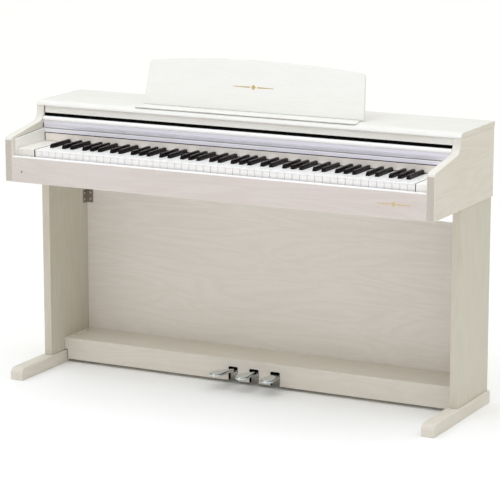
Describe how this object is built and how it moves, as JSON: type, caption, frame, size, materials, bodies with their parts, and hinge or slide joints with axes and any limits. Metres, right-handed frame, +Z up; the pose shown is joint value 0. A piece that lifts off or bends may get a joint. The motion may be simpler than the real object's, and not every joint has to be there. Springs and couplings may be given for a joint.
{
  "type": "digital piano on stand",
  "caption": "Compact cabinet digital piano on a panel stand, with a full keyboard, sliding key cover with a folding flap, folding music rest and pedals.",
  "frame": {"origin": "centre of the footprint, on the floor", "axes": "+X to the player's right along the keyboard, +Y from the player to the back of the cabinet, +Z up"},
  "size_m": [1.3892, 0.435, 0.9854],
  "materials": {
    "ivory_foil": "off-white wood-grain foil on board, satin",
    "ivory_key_plastic": "smooth, softly glossy",
    "black_key_plastic": "satin gloss with a fine grain",
    "red_felt": "pressed felt",
    "silver_trim": "satin anodised strip with fine lines",
    "pedal_chrome": "polished",
    "bracket_steel": "zinc-plated pressed steel",
    "speaker_paper": "pressed black paper cone",
    "black_plastic": "fine moulded texture",
    "chassis_plastic": "moulded",
    "circuit_board": "lacquered glass-fibre board",
    "lamp_lens": "smoked lens"
  },
  "bodies": {
    "cabinet": {"left_leg": "ivory_foil", "left_foot": "ivory_foil", "left_side_panel": "ivory_foil", "left_cheek_lining": "ivory_foil", "left_corner_bracket": "bracket_steel", "left_speaker": "speaker_paper", "left_key_block": "ivory_key_plastic", "left_rest_hinge": "bracket_steel", "right_leg": "ivory_foil", "right_foot": "ivory_foil", "right_side_panel": "ivory_foil", "right_cheek_lining": "ivory_foil", "right_corner_bracket": "bracket_steel", "right_speaker": "speaker_paper", "right_key_block": "ivory_key_plastic", "right_rest_hinge": "bracket_steel", "back_panel": "ivory_foil", "pedal_box_front": "ivory_foil", "pedal_box_top": "ivory_foil", "top_lid": "ivory_foil", "header_board": "ivory_foil", "key_bed": "ivory_foil", "key_slip": "ivory_foil", "rear_cover": "ivory_foil", "name_board": "ivory_foil", "music_rest_ledge": "ivory_foil", "pedal_carrier": "bracket_steel", "pedal_axle": "bracket_steel", "power_lamp": "lamp_lens", "jack_plate": "black_plastic", "key_felt": "red_felt", "key_frame": "chassis_plastic", "main_board": "circuit_board"},
    "bass_white_keys": {"bass_white_keys": "ivory_key_plastic"},
    "bass_black_keys": {"bass_black_keys": "black_key_plastic"},
    "tenor_white_keys": {"tenor_white_keys": "ivory_key_plastic"},
    "tenor_black_keys": {"tenor_black_keys": "black_key_plastic"},
    "treble_white_keys": {"treble_white_keys": "ivory_key_plastic"},
    "treble_black_keys": {"treble_black_keys": "black_key_plastic"},
    "top_white_keys": {"top_white_keys": "ivory_key_plastic"},
    "top_black_keys": {"top_black_keys": "black_key_plastic"},
    "key_c4": {"key_c4": "ivory_key_plastic"},
    "key_d4": {"key_d4": "ivory_key_plastic"},
    "key_e4": {"key_e4": "ivory_key_plastic"},
    "key_f4": {"key_f4": "ivory_key_plastic"},
    "key_g4": {"key_g4": "ivory_key_plastic"},
    "key_a4": {"key_a4": "ivory_key_plastic"},
    "key_b4": {"key_b4": "ivory_key_plastic"},
    "key_c_sharp4": {"key_c_sharp4": "black_key_plastic"},
    "key_d_sharp4": {"key_d_sharp4": "black_key_plastic"},
    "key_f_sharp4": {"key_f_sharp4": "black_key_plastic"},
    "key_g_sharp4": {"key_g_sharp4": "black_key_plastic"},
    "key_a_sharp4": {"key_a_sharp4": "black_key_plastic"},
    "key_cover": {"key_cover_panel": "ivory_foil"},
    "key_cover_flap": {"key_cover_flap": "ivory_foil", "key_cover_trim": "silver_trim"},
    "music_rest": {"music_rest_board": "ivory_foil"},
    "soft_pedal": {"soft_pedal": "pedal_chrome"},
    "sostenuto_pedal": {"sostenuto_pedal": "pedal_chrome"},
    "damper_pedal": {"damper_pedal": "pedal_chrome"}
  },
  "joints": [
    {"name": "bass_white_keys_press", "type": "hinge", "parent": "cabinet", "child": "bass_white_keys", "pos_m": [0.013, 0.0185, 0.694], "axis": [1, 0, 0], "range_deg": [0, 2.7], "stiffness_Nm_per_rad": 9.9, "springref_deg": -20.05},
    {"name": "bass_black_keys_press", "type": "hinge", "parent": "cabinet", "child": "bass_black_keys", "pos_m": [0.013, 0.0265, 0.706], "axis": [1, 0, 0], "range_deg": [0, 3.2], "stiffness_Nm_per_rad": 3.96, "springref_deg": -20.05},
    {"name": "tenor_white_keys_press", "type": "hinge", "parent": "cabinet", "child": "tenor_white_keys", "pos_m": [0.013, 0.0185, 0.694], "axis": [1, 0, 0], "range_deg": [0, 2.7], "stiffness_Nm_per_rad": 15.4, "springref_deg": -20.05},
    {"name": "tenor_black_keys_press", "type": "hinge", "parent": "cabinet", "child": "tenor_black_keys", "pos_m": [0.013, 0.0265, 0.706], "axis": [1, 0, 0], "range_deg": [0, 3.2], "stiffness_Nm_per_rad": 6.6, "springref_deg": -20.05},
    {"name": "treble_white_keys_press", "type": "hinge", "parent": "cabinet", "child": "treble_white_keys", "pos_m": [0.013, 0.0185, 0.694], "axis": [1, 0, 0], "range_deg": [0, 2.7], "stiffness_Nm_per_rad": 15.4, "springref_deg": -20.05},
    {"name": "treble_black_keys_press", "type": "hinge", "parent": "cabinet", "child": "treble_black_keys", "pos_m": [0.013, 0.0265, 0.706], "axis": [1, 0, 0], "range_deg": [0, 3.2], "stiffness_Nm_per_rad": 6.6, "springref_deg": -20.05},
    {"name": "top_white_keys_press", "type": "hinge", "parent": "cabinet", "child": "top_white_keys", "pos_m": [0.013, 0.0185, 0.694], "axis": [1, 0, 0], "range_deg": [0, 2.7], "stiffness_Nm_per_rad": 8.8, "springref_deg": -20.05},
    {"name": "top_black_keys_press", "type": "hinge", "parent": "cabinet", "child": "top_black_keys", "pos_m": [0.013, 0.0265, 0.706], "axis": [1, 0, 0], "range_deg": [0, 3.2], "stiffness_Nm_per_rad": 3.3, "springref_deg": -20.05},
    {"name": "key_c4_press", "type": "hinge", "parent": "cabinet", "child": "key_c4", "pos_m": [0.013, 0.0185, 0.694], "axis": [1, 0, 0], "range_deg": [0, 2.7], "stiffness_Nm_per_rad": 1.1, "springref_deg": -20.05},
    {"name": "key_d4_press", "type": "hinge", "parent": "cabinet", "child": "key_d4", "pos_m": [0.013, 0.0185, 0.694], "axis": [1, 0, 0], "range_deg": [0, 2.7], "stiffness_Nm_per_rad": 1.1, "springref_deg": -20.05},
    {"name": "key_e4_press", "type": "hinge", "parent": "cabinet", "child": "key_e4", "pos_m": [0.013, 0.0185, 0.694], "axis": [1, 0, 0], "range_deg": [0, 2.7], "stiffness_Nm_per_rad": 1.1, "springref_deg": -20.05},
    {"name": "key_f4_press", "type": "hinge", "parent": "cabinet", "child": "key_f4", "pos_m": [0.013, 0.0185, 0.694], "axis": [1, 0, 0], "range_deg": [0, 2.7], "stiffness_Nm_per_rad": 1.1, "springref_deg": -20.05},
    {"name": "key_g4_press", "type": "hinge", "parent": "cabinet", "child": "key_g4", "pos_m": [0.013, 0.0185, 0.694], "axis": [1, 0, 0], "range_deg": [0, 2.7], "stiffness_Nm_per_rad": 1.1, "springref_deg": -20.05},
    {"name": "key_a4_press", "type": "hinge", "parent": "cabinet", "child": "key_a4", "pos_m": [0.013, 0.0185, 0.694], "axis": [1, 0, 0], "range_deg": [0, 2.7], "stiffness_Nm_per_rad": 1.1, "springref_deg": -20.05},
    {"name": "key_b4_press", "type": "hinge", "parent": "cabinet", "child": "key_b4", "pos_m": [0.013, 0.0185, 0.694], "axis": [1, 0, 0], "range_deg": [0, 2.7], "stiffness_Nm_per_rad": 1.1, "springref_deg": -20.05},
    {"name": "key_c_sharp4_press", "type": "hinge", "parent": "cabinet", "child": "key_c_sharp4", "pos_m": [0.013, 0.0265, 0.706], "axis": [1, 0, 0], "range_deg": [0, 3.2], "stiffness_Nm_per_rad": 0.66, "springref_deg": -20.05},
    {"name": "key_d_sharp4_press", "type": "hinge", "parent": "cabinet", "child": "key_d_sharp4", "pos_m": [0.013, 0.0265, 0.706], "axis": [1, 0, 0], "range_deg": [0, 3.2], "stiffness_Nm_per_rad": 0.66, "springref_deg": -20.05},
    {"name": "key_f_sharp4_press", "type": "hinge", "parent": "cabinet", "child": "key_f_sharp4", "pos_m": [0.013, 0.0265, 0.706], "axis": [1, 0, 0], "range_deg": [0, 3.2], "stiffness_Nm_per_rad": 0.66, "springref_deg": -20.05},
    {"name": "key_g_sharp4_press", "type": "hinge", "parent": "cabinet", "child": "key_g_sharp4", "pos_m": [0.013, 0.0265, 0.706], "axis": [1, 0, 0], "range_deg": [0, 3.2], "stiffness_Nm_per_rad": 0.66, "springref_deg": -20.05},
    {"name": "key_a_sharp4_press", "type": "hinge", "parent": "cabinet", "child": "key_a_sharp4", "pos_m": [0.013, 0.0265, 0.706], "axis": [1, 0, 0], "range_deg": [0, 3.2], "stiffness_Nm_per_rad": 0.66, "springref_deg": -20.05},
    {"name": "key_cover_slide", "type": "slide", "parent": "cabinet", "child": "key_cover", "axis": [0, -0.998, -0.0628], "range_m": [0, 0.154]},
    {"name": "key_cover_flap_fold", "type": "hinge", "parent": "key_cover", "child": "key_cover_flap", "pos_m": [0, -0.0333, 0.7606], "axis": [-1, 0, 0], "range_deg": [0, 86.4]},
    {"name": "music_rest_fold", "type": "hinge", "parent": "cabinet", "child": "music_rest", "pos_m": [0.005, 0.0401, 0.8354], "axis": [-1, 0, 0], "range_deg": [0, 78.4]},
    {"name": "soft_pedal_press", "type": "hinge", "parent": "cabinet", "child": "soft_pedal", "pos_m": [-0.0705, 0.1275, 0.041], "axis": [1, 0, 0], "range_deg": [0, 4.5], "stiffness_Nm_per_rad": 8, "springref_deg": -14.32},
    {"name": "sostenuto_pedal_press", "type": "hinge", "parent": "cabinet", "child": "sostenuto_pedal", "pos_m": [0, 0.1275, 0.041], "axis": [1, 0, 0], "range_deg": [0, 4.5], "stiffness_Nm_per_rad": 8, "springref_deg": -14.32},
    {"name": "damper_pedal_press", "type": "hinge", "parent": "cabinet", "child": "damper_pedal", "pos_m": [0.0705, 0.1275, 0.041], "axis": [1, 0, 0], "range_deg": [0, 4.5], "stiffness_Nm_per_rad": 8, "springref_deg": -14.32}
  ],
  "couplings": [
    {"joint": "key_cover_flap_fold", "follows": "key_cover_slide", "rad_per_m": 9.791}
  ]
}
